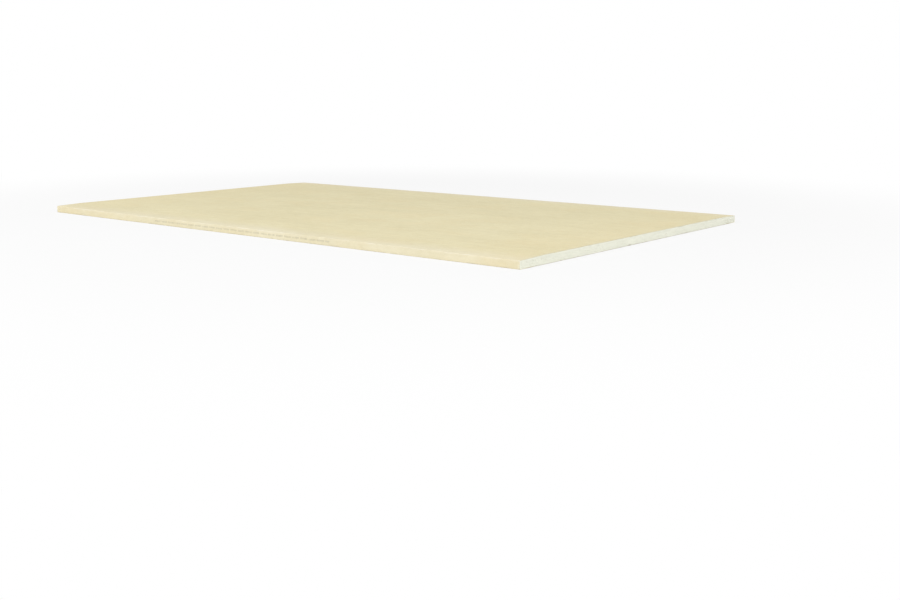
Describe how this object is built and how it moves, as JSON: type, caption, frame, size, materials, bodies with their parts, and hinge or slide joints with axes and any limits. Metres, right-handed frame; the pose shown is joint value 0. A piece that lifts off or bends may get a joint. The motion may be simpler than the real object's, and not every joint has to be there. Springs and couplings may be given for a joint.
{
  "type": "drywall sheet",
  "caption": "Flat gypsum wallboard with tapered long edges, a core bound in face and back paper, for lining walls and ceilings.",
  "frame": {"origin": "middle of the back, at the level the board rests on", "axes": "+X along the board's length, +Y across its width, +Z out of its face"},
  "size_m": [1, 0.6, 0.0125],
  "materials": {
    "gypsum": "matte",
    "face_paper": "matte",
    "back_paper": "matte"
  },
  "bodies": {
    "root": {"gypsum_core": "gypsum", "face_paper": "face_paper", "back_paper": "back_paper"}
  },
  "joints": []
}
